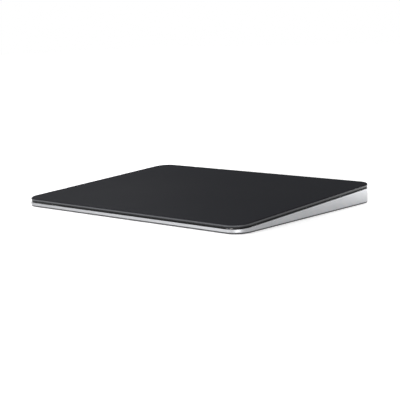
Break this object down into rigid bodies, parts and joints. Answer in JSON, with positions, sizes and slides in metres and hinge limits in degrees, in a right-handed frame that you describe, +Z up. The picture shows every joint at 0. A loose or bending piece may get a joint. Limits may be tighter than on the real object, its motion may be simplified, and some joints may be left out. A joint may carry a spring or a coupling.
{
  "type": "trackpad",
  "caption": "Low wedge-shaped desk trackpad: a pressable black glass touch surface on leaf springs in an aluminium tray, with haptic engine, battery, charging port and power switch.",
  "frame": {"origin": "on the desk, under the middle of the outline", "axes": "+X to the right as its user sees it, +Y to the rear, where it is higher, +Z up"},
  "size_m": [0.16, 0.115, 0.0109],
  "materials": {
    "aluminium": "satin",
    "black_glass": "matte",
    "black_carrier": "matte",
    "cover_plastic": "matte",
    "foot_rubber": "matte",
    "port_steel": "satin",
    "port_plastic": "satin",
    "contact_gold": "polished",
    "green_film": "satin",
    "circuit_board": "satin",
    "spring_steel": "satin",
    "gauge_foil": "satin",
    "silicone": "satin",
    "screw_steel": "satin",
    "soft_iron": "satin",
    "copper": "gloss",
    "shield_steel": "satin",
    "chip_black": "matte",
    "antenna_white": "satin",
    "capacitor_tan": "satin",
    "connector_ivory": "satin",
    "cable_amber": "satin",
    "battery_pouch": "satin",
    "tape_white": "matte",
    "switch_plastic": "satin"
  },
  "bodies": {
    "housing": {"housing": "aluminium", "bottom_cover": "cover_plastic", "front_left_foot": "foot_rubber", "front_right_foot": "foot_rubber", "rear_left_foot": "foot_rubber", "rear_right_foot": "foot_rubber", "port_shell": "port_steel", "port_insulator": "port_plastic", "port_contacts": "contact_gold", "switch_indicator": "green_film", "main_board": "circuit_board", "rear_board": "circuit_board", "battery_protection_board": "circuit_board", "front_left_flexure": "spring_steel", "front_right_flexure": "spring_steel", "rear_left_flexure": "spring_steel", "rear_right_flexure": "spring_steel", "front_left_strain_gauge": "gauge_foil", "front_right_strain_gauge": "gauge_foil", "rear_left_strain_gauge": "gauge_foil", "rear_right_strain_gauge": "gauge_foil", "flexure_screws": "screw_steel", "engine_screws": "screw_steel", "board_screws": "screw_steel", "engine_base_plate": "soft_iron", "front_left_core": "soft_iron", "front_right_core": "soft_iron", "rear_left_core": "soft_iron", "rear_right_core": "soft_iron", "front_left_coil": "copper", "front_right_coil": "copper", "rear_left_coil": "copper", "rear_right_coil": "copper", "shield_can": "shield_steel", "switch_body": "shield_steel", "processor_chip": "chip_black", "touch_controller_chip": "chip_black", "radio_antenna": "antenna_white", "board_capacitors": "capacitor_tan", "cable_connectors": "connector_ivory", "haptic_cable": "cable_amber", "battery_cable": "cable_amber", "rear_board_cable": "cable_amber", "left_gauge_cable": "cable_amber", "right_gauge_cable": "cable_amber", "battery_cell": "battery_pouch", "battery_adhesive_strips": "tape_white"},
    "dampers": {"front_left_damper": "silicone", "front_right_damper": "silicone", "rear_left_damper": "silicone", "rear_right_damper": "silicone"},
    "touch_module": {"touch_glass": "black_glass", "electrode_board": "circuit_board", "carrier_plate": "black_carrier", "attraction_rail": "soft_iron", "rail_screws": "screw_steel", "touch_cable": "cable_amber"},
    "power_slider": {"switch_knob": "aluminium", "switch_slider": "switch_plastic"}
  },
  "joints": [
    {"name": "press", "type": "slide", "parent": "housing", "child": "dampers", "axis": [0, -0.0521, 0.9986], "range_m": [-0.0002, 0], "stiffness_N_per_m": 20000, "springref_m": 0.0002, "deforming": ["front_left_flexure", "front_right_flexure", "rear_left_flexure", "rear_right_flexure", "touch_cable"]},
    {"name": "haptic_shift", "type": "slide", "parent": "dampers", "child": "touch_module", "axis": [1, 0, 0], "range_m": [-0.00015, 0.00015], "stiffness_N_per_m": 20000},
    {"name": "power_switch", "type": "slide", "parent": "housing", "child": "power_slider", "axis": [1, 0, 0], "range_m": [0, 0.0026]}
  ]
}
